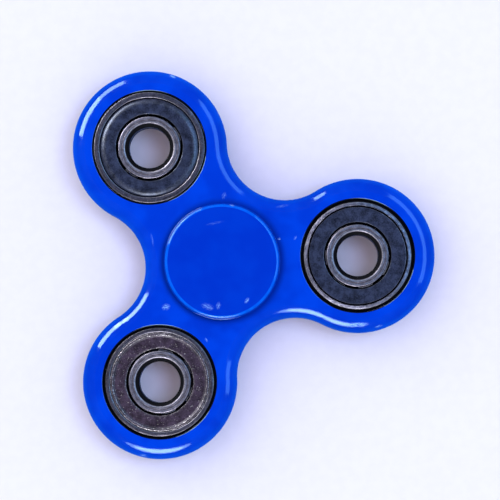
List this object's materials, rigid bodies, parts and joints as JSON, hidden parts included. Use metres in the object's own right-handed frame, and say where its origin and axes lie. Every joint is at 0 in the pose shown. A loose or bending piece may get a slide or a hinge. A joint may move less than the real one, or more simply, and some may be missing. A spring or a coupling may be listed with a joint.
{
  "type": "fidget spinner",
  "caption": "Three-armed hand spinner: a rounded plastic frame turns on a ball bearing between two finger caps, with an open ball bearing as a weight in each arm.",
  "frame": {"origin": "on the spin axis, at the frame's mid-thickness", "axes": "+Z along the spin axis, out of the upper cap; +X towards arm_1"},
  "size_m": [0.0694, 0.0756, 0.0128],
  "materials": {
    "frame_plastic": "glossy moulded blue",
    "cap_plastic": "glossy moulded blue, lightly scuffed",
    "ring_steel": "darkened, oily bearing steel with bright worn edges",
    "shield_steel": "blackened sheet steel",
    "brown_shield_steel": "brown-black sheet steel with a worn crimped edge",
    "ball_steel": "polished",
    "cage_steel": "pressed strip, oily"
  },
  "bodies": {
    "grip": {"upper_cap": "cap_plastic", "lower_cap": "cap_plastic", "hub_inner_ring": "ring_steel"},
    "frame": {"body_frame": "frame_plastic", "hub_outer_ring": "ring_steel", "hub_upper_shield": "shield_steel", "hub_lower_shield": "shield_steel", "arm_1_outer_ring": "ring_steel", "arm_1_upper_shield": "shield_steel", "arm_1_lower_shield": "shield_steel", "arm_2_outer_ring": "ring_steel", "arm_2_upper_shield": "shield_steel", "arm_2_lower_shield": "shield_steel", "arm_3_outer_ring": "ring_steel", "arm_3_upper_shield": "brown_shield_steel", "arm_3_lower_shield": "brown_shield_steel"},
    "hub_ball_set": {"hub_balls": "ball_steel", "hub_cage_upper": "cage_steel", "hub_cage_lower": "cage_steel", "hub_cage_rivets": "cage_steel"},
    "arm_1_inner": {"arm_1_inner_ring": "ring_steel"},
    "arm_1_ball_set": {"arm_1_balls": "ball_steel", "arm_1_cage_upper": "cage_steel", "arm_1_cage_lower": "cage_steel", "arm_1_cage_rivets": "cage_steel"},
    "arm_2_inner": {"arm_2_inner_ring": "ring_steel"},
    "arm_2_ball_set": {"arm_2_balls": "ball_steel", "arm_2_cage_upper": "cage_steel", "arm_2_cage_lower": "cage_steel", "arm_2_cage_rivets": "cage_steel"},
    "arm_3_inner": {"arm_3_inner_ring": "ring_steel"},
    "arm_3_ball_set": {"arm_3_balls": "ball_steel", "arm_3_cage_upper": "cage_steel", "arm_3_cage_lower": "cage_steel", "arm_3_cage_rivets": "cage_steel"}
  },
  "joints": [
    {"name": "frame_spin", "type": "hinge", "parent": "grip", "child": "frame", "pos_m": [0, 0, 0], "axis": [0, 0, 1], "continuous": true},
    {"name": "hub_cage_orbit", "type": "hinge", "parent": "grip", "child": "hub_ball_set", "pos_m": [0, 0, 0], "axis": [0, 0, 1], "continuous": true},
    {"name": "arm_1_ring_spin", "type": "hinge", "parent": "frame", "child": "arm_1_inner", "pos_m": [0.0263, 0, -0.00015], "axis": [0, 0, 1], "continuous": true},
    {"name": "arm_1_cage_orbit", "type": "hinge", "parent": "frame", "child": "arm_1_ball_set", "pos_m": [0.0263, 0, -0.00015], "axis": [0, 0, 1], "continuous": true},
    {"name": "arm_2_ring_spin", "type": "hinge", "parent": "frame", "child": "arm_2_inner", "pos_m": [-0.01315, 0.02278, 0.00015], "axis": [0, 0, 1], "continuous": true},
    {"name": "arm_2_cage_orbit", "type": "hinge", "parent": "frame", "child": "arm_2_ball_set", "pos_m": [-0.01315, 0.02278, 0.00015], "axis": [0, 0, 1], "continuous": true},
    {"name": "arm_3_ring_spin", "type": "hinge", "parent": "frame", "child": "arm_3_inner", "pos_m": [-0.01315, -0.02278, -0.0002], "axis": [0, 0, 1], "continuous": true},
    {"name": "arm_3_cage_orbit", "type": "hinge", "parent": "frame", "child": "arm_3_ball_set", "pos_m": [-0.01315, -0.02278, -0.0002], "axis": [0, 0, 1], "continuous": true}
  ],
  "couplings": [
    {"joint": "hub_cage_orbit", "follows": "frame_spin", "ratio": 0.6323},
    {"joint": "arm_1_cage_orbit", "follows": "arm_1_ring_spin", "ratio": 0.3677},
    {"joint": "arm_2_cage_orbit", "follows": "arm_2_ring_spin", "ratio": 0.3677},
    {"joint": "arm_3_cage_orbit", "follows": "arm_3_ring_spin", "ratio": 0.3677}
  ]
}
